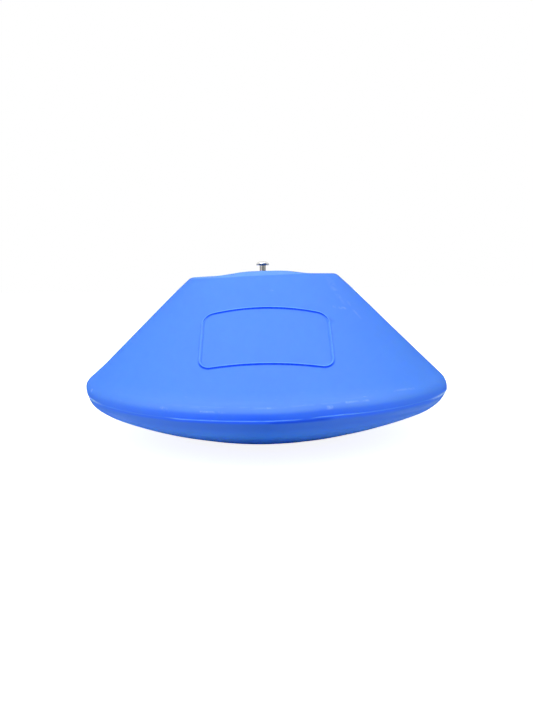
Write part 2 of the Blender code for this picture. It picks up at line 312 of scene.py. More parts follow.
class Nodes:
    """Adds nodes to the tree of one material or world."""

    def __init__(self, owner):
        self.owner = owner
        owner.use_nodes = True
        self.tree = owner.node_tree
        self.tree.nodes.clear()

    def add(self, kind, settings, inputs, output=0):
        """A node of any kind: its settings first, then its inputs."""
        node = self.tree.nodes.new(kind)
        for name, value in settings.items():
            setattr(node, name, value)
        for name, value in inputs.items():
            self.feed(node.inputs[name], value)
        return Wire(self, node.outputs[output]) if len(node.outputs) else None

    def feed(self, socket, value):
        if isinstance(value, Wire):
            self.tree.links.new(value.socket, socket)
        elif socket.type == "RGBA" and len(value) == 3:
            socket.default_value = (*value, 1.0)
        else:
            socket.default_value = value

    def noise(self, vector, scale, detail=3.0, roughness=0.5):
        inputs = {"Vector": vector, "Scale": scale, "Detail": detail, "Roughness": roughness}
        return self.add("ShaderNodeTexNoise", {}, inputs)

    def attribute(self, name):
        return self.add("ShaderNodeAttribute", {"attribute_name": name}, {}, output="Fac")

    def part_of(self, vector, axis):
        return self.add("ShaderNodeSeparateXYZ", {}, {"Vector": vector}, output=axis)

    def place(self):
        return self.add("ShaderNodeTexCoord", {}, {}, output="Object")

    def facing_up(self):
        """The upward part of the surface's normal."""
        return self.part_of(self.add("ShaderNodeNewGeometry", {}, {}, output="Normal"), "Z")

    def seen_by(self, *rays):
        """1 for rays of the kinds named."""
        paths = [self.add("ShaderNodeLightPath", {}, {}, f"Is {ray} Ray") for ray in rays]
        return sum(paths[1:], paths[0]).clamp()

    def stretched(self, vector, scale):
        return self.add("ShaderNodeMapping", {}, {"Vector": vector, "Scale": scale})

    def mix(self, factor, first, second):
        """A colour between two, through a Mix node."""
        return self.add("ShaderNodeMix", {"data_type": "RGBA"}, {0: factor, 6: first, 7: second}, output=2)

    def bump_normal(self, height, strength, distance, normal=None):
        inputs = {"Height": height, "Strength": strength, "Distance": distance}
        if normal:
            inputs["Normal"] = normal
        return self.add("ShaderNodeBump", {}, inputs)

    def vector(self, operation, first, second, output=0):
        return self.add("ShaderNodeVectorMath", {"operation": operation}, {0: first, 1: second}, output)

    def streak(self, place, start, end, half_width):
        """1 along a line between two points of the surface, falling to 0 a half width away."""
        along = end - start
        local = self.vector("SUBTRACT", place, start)
        reach = (self.vector("DOT_PRODUCT", local, along, "Value") / along.length_squared).clamp()
        nearest = self.add("ShaderNodeVectorMath", {"operation": "SCALE"}, {0: along, "Scale": reach})
        return self.vector("DISTANCE", local, nearest, "Value").ramp(half_width, 0.0)

    def finish(self, shader_inputs, settings=None):
        surface = self.add("ShaderNodeBsdfPrincipled", settings or {}, shader_inputs)
        self.add("ShaderNodeOutputMaterial", {}, {"Surface": surface})
        return self.owner

    def metal(self, colour, roughness, normal):
        return self.finish({"Base Color": colour, "Metallic": 1.0, "Roughness": roughness, "Normal": normal})


def arc(centre, radius, start, end, spacing):
    """Points of an arc in the section plane, no further apart than the spacing."""
    count = max(3, math.ceil(abs(end - start) * radius / spacing))
    turns = np.linspace(start, end, count + 1)
    return np.stack([centre[0] + radius * np.cos(turns), centre[1] + radius * np.sin(turns)], 1)


def fillet(before, corner, after, radius, spacing):
    """The round that replaces a corner of the section, shortened where its sides are short."""
    corner = Vector(corner)
    sides = [Vector(end) - corner for end in (before, after)]
    ways = [side.normalized() for side in sides]
    half = ways[0].angle(ways[1]) / 2
    reach = min(radius / math.tan(half), 0.9 * min(side.length for side in sides))
    radius = reach * math.tan(half)
    centre = corner + (ways[0] + ways[1]).normalized() * (radius / math.sin(half))
    first, last = (corner + way * reach - centre for way in ways)
    start = math.atan2(first.y, first.x)
    turn = (math.atan2(last.y, last.x) - start + math.pi) % (2 * math.pi) - math.pi
    return arc(centre, radius, start, start + turn, spacing)


def straight(start, end, spacing):
    """Points between two ends, without the ends themselves."""
    start, end = np.array(start, float), np.array(end, float)
    count = max(1, math.ceil(np.linalg.norm(end - start) / spacing))
    return start + (end - start) * (np.arange(1, count) / count)[:, None]


def joined(runs):
    """Runs of points as one array."""
    return np.concatenate([np.array(run, float).reshape(-1, 2) for run in runs])


POCKET_GAP = 0.0003
MOUTH_ROUND = 0.0004
RIM_INSET = 0.0007  # how far the rim lies inside the solid's ridge
MIDDLE_RADIUS = 0.002  # where the foot's last ring lies
# Mesh spacings along the section.
POCKET_STEP, MOUTH_STEP, MOUTH_RUN_STEP = 0.004, 0.0002, 0.002
CROWN_STEP, FLANK_STEP, EDGE_STEP = 0.0025, 0.003, 0.0003
SHOULDER_STEP, SEAM_STEP, UNDERCUT_STEP = 0.001, 0.0001, 0.0002
BILGE_STEP, DOME_STEP, FOOT_STEP = 0.0015, 0.005, 0.008


class BodySection:
    """The body's turned section, from the pocket's floor over the crown and rim to the middle of the foot."""

    def __init__(self, sizes):
        self.sizes = sizes
        self.rim = BODY_HIGH.x - RIM_INSET
        bilge_reach = self.rim - sizes.bilge_radius * math.cos(sizes.undercut)
        bilge_height = sizes.bilge_radius * math.sin(sizes.undercut)
        dome = bilge_height + math.sqrt((sizes.dome_radius - sizes.bilge_radius) ** 2 - bilge_reach**2)
        self.seam = math.sqrt(sizes.dome_radius**2 - sizes.foot_radius**2) - dome
        self.shoulder = (self.rim - sizes.shoulder_radius, self.seam + sizes.shoulder_rise)
        self.turn_under = math.asin(sizes.shoulder_rise / sizes.shoulder_radius)
        inset = sizes.shoulder_radius * (1 - math.cos(self.turn_under)) / math.cos(sizes.undercut)
        drop = inset * math.sin(sizes.undercut)
        self.bilge = (bilge_reach, bilge_height + self.seam - drop)
        self.dome = dome + self.seam - drop
        self.bilge_radius = sizes.bilge_radius - inset
        self.dome_radius = sizes.dome_radius - inset
        self.foot_radius = math.sqrt(self.dome_radius**2 - self.dome**2)
        self.top = self.seam + sizes.top_height
        self.crown = INSERT_HIGH.z
        self.crown_foot = self.crown - sizes.crown_rise
        across = self.shoulder[0] - sizes.top_radius
        down = self.top - self.shoulder[1]
        lean = math.asin(sizes.shoulder_radius / math.hypot(across, down))
        self.slope = math.atan2(across, down) + lean
        self.apex = self.top + sizes.top_radius / math.tan(self.slope)
        self.flank_end = self.shoulder[0] + sizes.shoulder_radius * math.cos(self.slope)
        flank_top = sizes.top_radius / math.sin(self.slope)
        flank_low = self.flank_end / math.sin(self.slope)
        self.panel_middle = (flank_top + flank_low) / 2 - sizes.panel_lift

    def on_flank(self, distance):
        """The section point on the cone at a distance from its apex."""
        return distance * math.sin(self.slope), self.apex - distance * math.cos(self.slope)

    def points(self):
        """The section's points from the pocket's floor to the middle of the foot."""
        return joined([*self.upper_runs(), *self.lower_runs()])

    def upper_runs(self):
        """Runs of points from the pocket's floor over the crown and down the flank to the shoulder."""
        sizes = self.sizes
        pocket = INSERT_HIGH.x + POCKET_GAP
        floor = INSERT_LOW.z - POCKET_GAP
        mouth = pocket + MOUTH_ROUND
        mouth_low = self.crown - MOUTH_ROUND
        crown_edge = (sizes.crown_flat_radius, self.crown)
        crown_foot = (sizes.crown_foot_radius, self.crown_foot)
        top_edge = (sizes.top_radius, self.top)
        middle = tuple((a + b) / 2 for a, b in zip(crown_edge, crown_foot))
        flank_low = (self.flank_end, self.apex - self.flank_end / math.tan(self.slope))
        edge_bend = fillet((mouth, self.crown), crown_edge, middle, sizes.crown_round, CROWN_STEP)
        foot_bend = fillet(middle, crown_foot, top_edge, sizes.crown_round, CROWN_STEP)
        top_bend = fillet(crown_foot, top_edge, flank_low, sizes.top_edge_radius, EDGE_STEP)
        runs = [
            [(pocket * 0.5, floor), (pocket, floor)],
            straight((pocket, floor), (pocket, mouth_low), POCKET_STEP),
            arc((mouth, mouth_low), MOUTH_ROUND, math.pi, math.pi / 2, MOUTH_STEP),
            straight((mouth, self.crown), edge_bend[0], MOUTH_RUN_STEP),
            edge_bend,
            straight(edge_bend[-1], foot_bend[0], CROWN_STEP),
            foot_bend,
            straight(foot_bend[-1], top_bend[0], FLANK_STEP),
            top_bend,
        ]
        last = top_bend[-1]
        for band, step in zip(self.bead_bands(), (FLANK_STEP, 3 * sizes.fine_step)):
            start, end = map(self.on_flank, band)
            runs += [straight(last, start, step), [start], straight(start, end, sizes.fine_step), [end]]
            last = end
        return [*runs, straight(last, self.shoulder_point(self.slope), FLANK_STEP)]

    def shoulder_point(self, turn):
        reach = self.sizes.shoulder_radius
        return self.shoulder[0] + reach * math.cos(turn), self.shoulder[1] + reach * math.sin(turn)

    def lower_runs(self):
        """Runs of points from the shoulder over the parting line and the dome to the middle of the foot."""
        sizes = self.sizes
        ridge_turn = 0.7 * sizes.ridge_width / sizes.shoulder_radius - self.turn_under
        leave_turn = -sizes.undercut - sizes.ridge_width / self.bilge_radius
        dome_start = math.atan2(self.bilge[1] - self.dome, self.bilge[0])
        dome_end = math.atan2(-self.dome, self.foot_radius)
        return [
            arc(self.shoulder, sizes.shoulder_radius, self.slope, ridge_turn, SHOULDER_STEP),
            arc(self.shoulder, sizes.shoulder_radius, ridge_turn, -self.turn_under, SEAM_STEP)[1:],
            arc(self.bilge, self.bilge_radius, -sizes.undercut, leave_turn, UNDERCUT_STEP)[1:],
            arc(self.bilge, self.bilge_radius, leave_turn, dome_start, BILGE_STEP)[1:],
            arc((0.0, self.dome), self.dome_radius, dome_start, dome_end, DOME_STEP)[1:],
            straight((self.foot_radius, 0.0), (MIDDLE_RADIUS, 0.0), FOOT_STEP),
        ]

    def bead_bands(self):
        """Distances from the apex between which the bead's upper and lower runs lie."""
        sizes = self.sizes
        margin = 1.6 * sizes.bead_half_width
        straight_end = sizes.panel_width / 2 - sizes.panel_corner
        top = self.panel_middle - sizes.panel_height / 2
        low = self.panel_middle + sizes.panel_height / 2
        upper = (top - margin, math.hypot(straight_end, top) + sizes.panel_corner / 2)
        return upper, (low - margin, math.hypot(straight_end, low) + margin)

    def across_and_along(self, azimuth, radius):
        """Places on the cone in the flat drawing of the panel, from the panel's middle."""
        turn = azimuth * math.sin(self.slope)
        distance = radius / math.sin(self.slope)
        across = distance * np.sin(turn) - self.sizes.panel_shift
        return across, distance * np.cos(turn) - self.panel_middle

    def bead_rise(self, across, along):
        """Height of the bead's round profile as a share of its full height."""
        rise = np.clip((1.0 - np.abs(self.bead_offset(across, along))) / 0.45, 0, 1)
        return np.sin(rise * math.pi / 2)

    def bead_faces(self, across, along):
        """1 on the lower face of the bead's lying runs, -1 on the upper face and 0 on its upright runs."""
        step = 0.48 * self.sizes.bead_half_width
        lower, upper = (
            soft_step((0.39 - np.abs(self.bead_offset(across, place))) / 0.15 + 0.5)
            for place in (along - step, along + step)
        )
        return lower - upper

    def bead_offset(self, across, along):
        """Distance outwards from the bead's centre line in half widths of the bead."""
        sizes = self.sizes
        across = np.abs(across) - (sizes.panel_width / 2 - sizes.panel_corner)
        along = np.abs(along) - (sizes.panel_height / 2 - sizes.panel_corner)
        outside = np.hypot(np.maximum(across, 0.0), np.maximum(along, 0.0))
        inside = np.minimum(np.maximum(across, along), 0.0)
        return (outside + inside - sizes.panel_corner) / sizes.bead_half_width


def soft_step(value):
    """0 below 0 and 1 above 1, smoothly."""
    value = np.clip(value, 0, 1)
    return value * value * (3.0 - 2.0 * value)


def fade(value, start, end):
    """0 at start and 1 at end, smoothly; start may be the larger."""
    return soft_step((value - start) / (end - start))


def slow_noise(points, wavelength):
    """A smooth height between about -1 and 1 from crossed sine waves that don't repeat together."""
    flat = points.reshape(-1, 3)
    total = np.zeros(len(flat))
    directions = ((1.0, 0.3, 0.7), (-0.5, 1.0, 0.4), (0.2, -0.8, 1.1), (0.9, 0.9, -0.3), (-1.1, 0.2, 0.6))
    for index, direction in enumerate(directions):
        rate = 2 * math.pi / wavelength * (1.0 + 0.23 * index)
        total += np.sin(flat @ np.array(direction) * rate + 1.7 * index)
    return (total / len(directions)).reshape(points.shape[:-1])


def turned_mesh(name, section, azimuths, reshape=None):
    """A closed turned mesh: section rows by azimuth columns, with a single point on the axis at each end."""
    rows, columns = len(section), len(azimuths)
    radius, azimuth = np.meshgrid(section[:, 0], azimuths, indexing="ij")
    height = np.repeat(section[:, 1:2], columns, axis=1)
    points = np.stack([radius * np.sin(azimuth), -radius * np.cos(azimuth), height], -1)
    if reshape:
        points = reshape(points, radius, azimuth)
    grid = np.arange(rows * columns).reshape(rows, columns)
    onward = np.roll(grid, -1, axis=1)
    quads = np.stack([grid[:-1], grid[1:], onward[1:], onward[:-1]], -1).reshape(-1, 4)
    first, last = rows * columns, rows * columns + 1
    caps = [(first, int(a), int(b)) for a, b in zip(grid[0], onward[0])]
    caps += [(last, int(b), int(a)) for a, b in zip(grid[-1], onward[-1])]
    ends = [(0.0, 0.0, end) for end in section[[0, -1], 1]]
    mesh = bpy.data.meshes.new(name)
    mesh.from_pydata(np.vstack([points.reshape(-1, 3), ends]).tolist(), [], quads.tolist() + caps)
    mesh.shade_smooth()
    return mesh


def panel_columns(skin):
    """Azimuths of the mesh columns: close at the bead's sides, wider between them, coarse behind."""
    sizes = skin.sizes
    half_width, half_height = sizes.panel_width / 2, sizes.panel_height / 2
    margin = 2 * sizes.bead_half_width
    low, top = skin.panel_middle + half_height, skin.panel_middle - half_height
    inner = math.atan2(half_width - sizes.panel_corner - margin, low) / math.sin(skin.slope)
    outer = math.atan2(half_width + margin, top + sizes.panel_corner) / math.sin(skin.slope)
    radius = skin.panel_middle * math.sin(skin.slope)
    between = np.linspace(-inner, inner, math.ceil(2 * inner * radius / (4 * sizes.fine_step)))
    side = np.linspace(inner, outer, math.ceil((outer - inner) * radius / (1.3 * sizes.fine_step)))[1:]
    behind = np.linspace(outer, 2 * math.pi - outer, sizes.coarse_columns + 2)[1:-1]
    return np.concatenate([-side[::-1], between, side, behind])


def uneven(azimuth):
    """The columns of the unevenness table at azimuths in radians, in metres, eased between its rows."""
    degrees = np.degrees(azimuth)
    row = np.clip(np.searchsorted(UNEVEN[:, 0], degrees, side="right") - 1, 0, len(UNEVEN) - 2)
    share = fade(degrees, UNEVEN[row, 0], UNEVEN[row + 1, 0])
    values = UNEVEN[row, 1:] + (UNEVEN[row + 1, 1:] - UNEVEN[row, 1:]) * share[:, None]
    return values[:, :4].T * MM, values[:, 4]


STILL_RADIUS = (0.012, 0.024)  # the unevenness grows between these radii
STILL_FOOT = (0.0, 0.006)  # and between these heights over the floor
SLOW_WAVE = 0.11
FLASH_WAVE = 0.023
# Heights from the parting line, as (start, full); then depths under the top edge and radii.
UNDERSIDE = (0.0, -0.01)
SHOULDER_LOW = (0.006, 0.016)
SHOULDER_HIGH = (0.04, 0.015)
RIM = (0.0085, 0.0)
RISE_ABOVE = (0.03, 0.0)
RISE_BELOW = (-0.006, 0.0)
TILT_DEPTH = 0.04
DRAW_DEPTH = 0.02
DRAW_RADIUS = (0.06, 0.072)
FITTING_RADIUS = (0.02, 0.01)
# The bead's painted lines, in half widths of the bead, and their strengths: scuffs with a painted highlight
# on the crest, and painted shade along the feet.
CREST_HALF_WIDTH, CREST = 0.4, 0.7
FOOT_LINE, FOOT_HALF_WIDTH = 1.1, 0.5
INNER_FOOT, OUTER_FOOT = 0.4, 0.15


class BodySkin(BodySection):
    """The turned body with its bead, ridge and unevenness, its tilted top and its shifted fitting."""

    def __init__(self, sizes):
        super().__init__(sizes)
        self.section = self.points()
        run = np.gradient(self.section, axis=0)
        outward = np.stack([-run[:, 1], run[:, 0]], 1)
        self.normals = outward / np.linalg.norm(outward, axis=1, keepdims=True)
        self.azimuths = panel_columns(self)
        self.turns = (self.azimuths + math.pi) % (2 * math.pi) - math.pi
        self.heights = self.section[:, 1:]
        self.above = self.heights - self.seam
        self.outer = self.section[:, :1] > sizes.top_radius
        self.flank = self.outer & (self.heights > self.shoulder[1])

    def reshape(self, points, radius, azimuth):
        """The turned points with the bead, the ridge and the moulding's unevenness."""
        radial = np.stack([np.sin(azimuth), -np.cos(azimuth), np.zeros(azimuth.shape)], -1)
        outward = self.normals[:, None, :1] * radial + self.normals[:, None, 1:] * np.array((0, 0, 1))
        (seam_rise, *fullness), ridge_share = uneven(self.turns)
        across, along = self.across_and_along(self.turns[None, :], radius)
        lift = self.sizes.bead_height * self.bead_rise(across, along) * self.flank
        lift = lift + self.moulding_lift(points, radius, fullness)
        crossing = np.clip(1 - (self.above / (self.sizes.ridge_width / 2)) ** 2, 0, 1) * self.outer
        flash = (1.0 + 0.3 * slow_noise(points, FLASH_WAVE)) * ridge_share
        ridge = self.sizes.ridge_height * flash * np.sqrt(crossing)
        points = points + outward * lift[..., None] + radial * ridge[..., None]
        self.move_top(points, radius, radial)
        share = np.where(self.above > 0, fade(self.above, *RISE_ABOVE), fade(self.above, *RISE_BELOW))
        points[..., 2] += seam_rise * share * self.outer
        self.paint(across, along, crossing * np.clip(flash * 1.3, 0, 1.3), radius.shape)
        return points

    def moulding_lift(self, points, radius, fullness):
        """How far the surface stands out by the moulding's slow waves and the table's fullness."""
        underside, shoulder, rim = fullness
        free = fade(radius, *STILL_RADIUS) * fade(points[..., 2], *STILL_FOOT)
        below_seam = fade(self.above, *UNDERSIDE) * self.outer
        on_shoulder = fade(self.above, *SHOULDER_LOW) * fade(self.above, *SHOULDER_HIGH)
        at_rim = fade(np.abs(self.above), *RIM) * self.outer
        lift = self.sizes.ripple * slow_noise(points, SLOW_WAVE) + below_seam * underside
        return free * (lift + on_shoulder * self.outer * shoulder + at_rim * rim)

    def move_top(self, points, radius, radial):
        """Tilt the top, draw the flank's upper end in and shift the pocket's mouth, in place."""
        sizes, top = self.sizes, self.top
        tilt = sizes.top_tilt * points[..., 0] + sizes.top_lift * (points[..., 0] / sizes.top_radius) ** 2
        tilt = tilt * fade(self.heights, top - TILT_DEPTH, top)
        tilt = tilt * fade(radius, INSERT_HIGH.x, 2 * INSERT_HIGH.x)
        draw_in = tilt * math.tan(self.slope) * np.minimum(radius / sizes.top_radius, 1.0)
        upper_end = np.clip(1.0 - (top - self.heights) / DRAW_DEPTH, 0, 1) ** 1.5
        draw_in = draw_in + sizes.top_draw * upper_end * fade(radius, *DRAW_RADIUS)
        points -= radial * draw_in[..., None]
        points[..., 2] += tilt
        near_fitting = fade(radius, *FITTING_RADIUS) * (self.heights > self.seam)
        points[..., 0] += FITTING_SIDE * near_fitting

    def paint(self, across, along, worn_and_lit_seam, shape):
        """The masks that the material reads: scuffs with a painted highlight on the crests, the bead's
        painted shade and height from the seam.
        """
        sizes = self.sizes
        faces = self.bead_faces(across, along)
        offset = self.bead_offset(across, along)
        upright = 1.0 - soft_step((np.abs(along) - sizes.panel_height / 2) / sizes.panel_corner + 1.0)
        # Scuffs and a painted highlight on the bead's crest, and on the upper face of its lying runs.
        crest = np.clip(1.0 - np.abs(offset / CREST_HALF_WIDTH), 0, 1) * CREST * upright
        crest = (crest + np.clip(-faces, 0, 1)) * self.flank
        # Painted shade along the feet of the bead's upright runs; the bead's lower face gets painted shade
        # too.
        inner, outer = (
            np.clip(1.0 - np.abs(offset - line) / FOOT_HALF_WIDTH, 0, 1)
            for line in (-FOOT_LINE, FOOT_LINE)
        )
        side_shade = (INNER_FOOT * inner + OUTER_FOOT * outer) * upright
        self.masks = {
            "bead_shade": np.maximum(np.clip(faces, 0, 1), side_shade) * self.flank,
            "worn_and_lit_edge": np.maximum(crest, worn_and_lit_seam),
            "above_seam": np.broadcast_to(self.above, shape),
        }

    def mesh(self):
        mesh = turned_mesh("float_body_skin", self.section, self.azimuths, self.reshape)
        ends = {"above_seam": [float(self.above[0, 0]), float(self.above[-1, 0])]}
        for name, values in self.masks.items():
            attribute = mesh.attributes.new(name, "FLOAT", "POINT")
            attribute.data.foreach_set("value", np.append(values.ravel(), ends.get(name, [0.0, 0.0])))
        return mesh


class PlasticFields:
    """The fields that the plastic's masks share."""

    def __init__(self, nodes, rim):
        place = self.place = nodes.place()
        self.up = nodes.facing_up()
        self.across = nodes.part_of(place, "X")
        self.depth = nodes.part_of(place, "Y")
        self.aside = self.across.abs() / rim
        self.above = nodes.attribute("above_seam")
        self.below = self.above.ramp(*BELOW_SEAM)
        self.mottle = nodes.noise(place, 22, detail=4, roughness=0.6)
        self.blotches = nodes.noise(place, 160, roughness=0.65)
        long_place = nodes.stretched(place, (14, 14, 150))
        self.streaks = nodes.noise(long_place, 1.0, detail=5, roughness=0.65)
        self.scratches = nodes.noise(nodes.stretched(place, (60, 60, 420)), 1.0)


def plastic_base(nodes, colours, fields):
    """The colour before scuffs, with light and shade painted in: a lighter flank where it faces up, painted
    shade on the rim and the underside, and painted light on the crown.
    """
    above, aside = fields.above, fields.aside
    # Painted light and shade: the flank's colour where it faces up above the shoulder, and the rim's painted
    # shade below it and on faces turned away from the light.
    lit_height = above + (fields.mottle - 0.5) * 0.001
    lit_flank = lit_height.ramp(*FULL_LIGHT) * 0.85 + lit_height.ramp(*FAINT_LIGHT) * 0.15
    turned_away = above.ramp(*FLANK_START) * fields.up.ramp(0.5, 0.2)
    # Painted shade on the rim band, weaker at both sides.
    rim = nodes.mix(aside * 0.8, colours.rim_shade_blue, colours.rim_side_blue)
    # Painted shade on the underside: darker at the front and back, lighter at the sides and lower down, deep
    # blue towards the foot's middle.
    under = nodes.mix(aside, colours.under_shade_blue, colours.under_side_blue)
    low = nodes.mix(aside, colours.under_low_blue, colours.under_low_side_blue)
    under = nodes.mix(above.ramp(*LOWER_SIDE) * 0.65, under, low)
    under = nodes.mix(above.ramp(*NEAR_FOOT) * (1.0 - aside) * 0.8, under, colours.foot_shade_blue)
    # Painted shade: the flank a little darker towards both sides.
    flank = nodes.mix(aside.ramp(0.25, 0.75), colours.blue, colours.side_blue)
    base = nodes.mix(lit_flank * (1.0 - turned_away), nodes.mix(fields.below, rim, under), flank)
    # Painted light on the crown where it lies level, its edge skewed towards the front's left.
    level = nodes.vector("MULTIPLY", fields.place, (1, 1, 0))
    reach = nodes.vector("LENGTH", level, (0.0, 0.0, 0.0), "Value")
    skew = fields.across * fields.depth.ramp(*SKEW_DEPTH) * CROWN_SKEW
    crown_light = fields.up.ramp(0.8, 0.98) * (reach + skew).ramp(*CROWN_EDGE)
    return nodes.mix(crown_light, base, colours.crown_light_blue)


def plastic_wear_and_sheen(nodes, fields):
    """How far the plastic is scuffed or carries a painted highlight: the shoulder's band and line, which are
    scuffs with a painted highlight, its flecks, the marks and the lower sides.
    """
    aside, streaks, scratches = fields.aside, fields.streaks, fields.scratches
    # Painted highlight with scuffs in a band and a line along the shoulder.
    shoulder = fields.above.ramp(*SHOULDER_START) * fields.above.ramp(*SHOULDER_END)
    rub_and_sheen = shoulder * (0.5 + streaks.ramp(0.45, 0.7) * 0.5) * (1.0 - aside.ramp(0.45, 0.8) * 0.8)
    line = fields.above.bump(*SHOULDER_LINE) * scratches.ramp(0.4, 0.6) * (1.0 - aside.ramp(0.25, 0.55))
    flecks = shoulder * scratches.ramp(0.66, 0.76) * (0.5 - aside.ramp(0.35, 0.75) * 0.4)
    wear_and_sheen = rub_and_sheen * 0.14 + flecks + line * 0.16
    patches = fields.blotches.ramp(0.38, 0.62)
    for start, end, half_width, strength in MARKS:
        mark = nodes.streak(fields.place, Vector(start) * MM, Vector(end) * MM, half_width * MM)
        wear_and_sheen = wear_and_sheen + mark * patches * strength
    wear_and_sheen = wear_and_sheen + fields.below * aside.ramp(0.45, 0.9) * streaks.ramp(0.45, 0.65) * 0.32
    return wear_and_sheen.clamp()


def plastic_material(colours, rim):
    """Blue polyethylene with light and shade painted in: lighter above, painted shade on the rim and
    underside, painted light on the crown, and scuffs with painted highlights on shoulder, bead and seam.
    """
    nodes = Nodes(bpy.data.materials.new("blue_polyethylene"))
    fields = PlasticFields(nodes, rim)
    wear_and_sheen = plastic_wear_and_sheen(nodes, fields)
    greyed = tuple(c * 0.8 for c in colours.blue)
    colour = nodes.mix(fields.mottle.ramp(0.3, 0.8) * 0.12, plastic_base(nodes, colours, fields), greyed)
    # Scuffs and a painted highlight on the crests of the bead and the parting ridge.
    worn_and_lit = nodes.attribute("worn_and_lit_edge") * (0.36 + fields.streaks.ramp(0.35, 0.6) * 0.34)
    colour = nodes.mix(worn_and_lit.clamp(), colour, colours.worn_and_lit_blue)
    # Scuffs and marks, and the shoulder's painted highlight.
    colour = nodes.mix(wear_and_sheen, colour, colours.scuff_and_sheen)
    # Painted shadow under the parting ridge, on a stretch right of the middle.
    ridge_shadow = fields.above.bump(*RIDGE_SHADOW_LINE)
    ridge_shadow = ridge_shadow * fields.across.ramp(*RIDGE_SHADOW_START) * fields.across.ramp(*RIDGE_SHADOW_END)
    colour = nodes.mix(ridge_shadow * 0.6, colour, colours.shade_blue)
    # The seam line paler at both far sides.
    pale = fields.above.bump(*PALE_LINE) * fields.aside.ramp(0.78, 0.9) * (0.5 + fields.blotches * 0.7)
    colour = nodes.mix(pale.clamp(), colour, colours.pale_blue)
    # Painted shade on the bead's lower face and along its feet.
    colour = nodes.mix(nodes.attribute("bead_shade"), colour, colours.shade_blue)
    normal = nodes.bump_normal(nodes.noise(fields.place, 420, detail=2), 0.08, 0.0002)
    normal = nodes.bump_normal(fields.streaks, 0.05, 0.0004, normal)
    inputs = {
        "Base Color": colour,
        "Roughness": 0.44 + (fields.mottle - 0.5) * 0.12 + wear_and_sheen * 0.12,
        "Normal": normal,
        "Specular IOR Level": 0.0,
        "Subsurface Weight": 1.0,
        "Subsurface Radius": (0.15, 0.5, 5.0),
        "Subsurface Scale": 0.001,
    }
    return nodes.finish(inputs, {"subsurface_method": "BURLEY"})


def steel_material(colours):
    """Polished stainless steel: a bright head whose lower band carries a painted reflection of the blue body,
    and a darker shank with painted reflection streaks.
    """
    nodes = Nodes(bpy.data.materials.new("polished_steel"))
    place = nodes.place()
    height = nodes.part_of(place, "Z")
    across = nodes.part_of(place, "X") - FITTING_SIDE
    up = nodes.facing_up()
    lines = nodes.noise(nodes.stretched(place, (150, 150, 9000)), 1.0, detail=2)
    smear = nodes.noise(place, 350)
    bands = nodes.noise(nodes.stretched(place, (700, 700, 20)), 1.0, detail=1)
    under_head = STUD_HIGH.z - colours.head_height
    head = height.ramp(under_head - 0.0001, under_head + 0.0001)
    # Painted reflection of the blue body on the head's lower band, reaching higher just right of the axis.
    band_dip = across.bump(0.0012, 0.0036)
    blue_reflection = (height - band_dip * 0.0007).ramp(under_head + 0.0019, under_head + 0.0013)
    blue_reflection = blue_reflection * (1.0 - across.abs().ramp(0.003, 0.005) * 0.35)
    rim_shade = up.ramp(0.9, 0.98) * 0.8
    bright = nodes.mix((smear * 0.4 + rim_shade).clamp(), colours.steel, colours.dim_reflection_steel)
    crown = nodes.mix(blue_reflection, bright, colours.blue_reflection_steel)
    # Painted reflections on the shank: darker from just left of its axis rightwards, a dark line near its
    # left edge, and noisy streaks.
    dark_reflection = across.ramp(-0.0011, -0.0006) * (1.0 - across.ramp(0.0008, 0.0016) * 0.4)
    edge = across.bump(-0.0022, 0.0008) * 0.5
    dark = (dark_reflection * 0.9 + edge + bands.ramp(0.58, 0.42) * 0.4).clamp()
    shank = nodes.mix(dark, colours.dim_reflection_steel, colours.dark_reflection_steel)
    colour = nodes.mix(head, shank, crown)
    normal = nodes.bump_normal(lines, 0.05, 0.00005)
    return nodes.metal(colour, 0.1 + smear * 0.1, normal)


def brass_material(colours):
    """Turned brass, a little dulled."""
    nodes = Nodes(bpy.data.materials.new("turned_brass"))
    place = nodes.place()
    tarnish = nodes.noise(place, 260, detail=4)
    lines = nodes.noise(nodes.stretched(place, (200, 200, 8000)), 1.0, detail=2)
    colour = nodes.mix(tarnish, tuple(c * 0.72 for c in colours.brass), colours.brass)
    normal = nodes.bump_normal(lines, 0.08, 0.00005)
    return nodes.metal(colour, 0.24 + tarnish * 0.16, normal)


def linked(name, data, material=None):
    obj = bpy.data.objects.new(name, data)
    if material:
        data.materials.append(material)
    bpy.context.scene.collection.objects.link(obj)
    return obj


class NETFLOAT_OT_body(bpy.types.Operator):
    """Rebuild the moulded body as a fine skin over its solid"""

    bl_idname = "net_float.body"
    bl_label = "Float Body"

    def execute(self, context):
        sizes = context.scene.net_float_body
        skin = BodySkin(sizes)
        body = linked("float_body_skin", skin.mesh(), plastic_material(sizes, skin.rim))
        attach(body, BODY)
        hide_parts("float_body")
        return {"FINISHED"}


def stud_section(sizes):
    """The stud's section from the middle of its head to its tip."""
    under_head = STUD_HIGH.z - sizes.head_height
    side_top = under_head + sizes.head_side
    flat = STUD_HIGH.x - sizes.head_round
    turns = np.linspace(math.pi / 2, 0.0, 19)
    dome_heights = side_top + (STUD_HIGH.z - side_top) * np.sin(turns)
    dome = np.stack([flat + sizes.head_round * np.cos(turns), dome_heights], 1)
    soft = sizes.edge_round
    lower = arc((STUD_HIGH.x - soft, under_head + soft), soft, 0.0, -math.pi / 2, 0.0001)
    root = arc((sizes.shank_radius + soft, under_head - soft), soft, math.pi / 2, math.pi, 0.0001)
    shank_end = (sizes.shank_radius, STUD_LOW.z + sizes.tip_chamfer)
    shank = straight(root[-1], shank_end, 0.0015)
    tip = [shank_end, (sizes.shank_radius - sizes.tip_chamfer, STUD_LOW.z)]
    return joined([[(flat * 0.5, STUD_HIGH.z)], dome, lower, root, shank, tip])


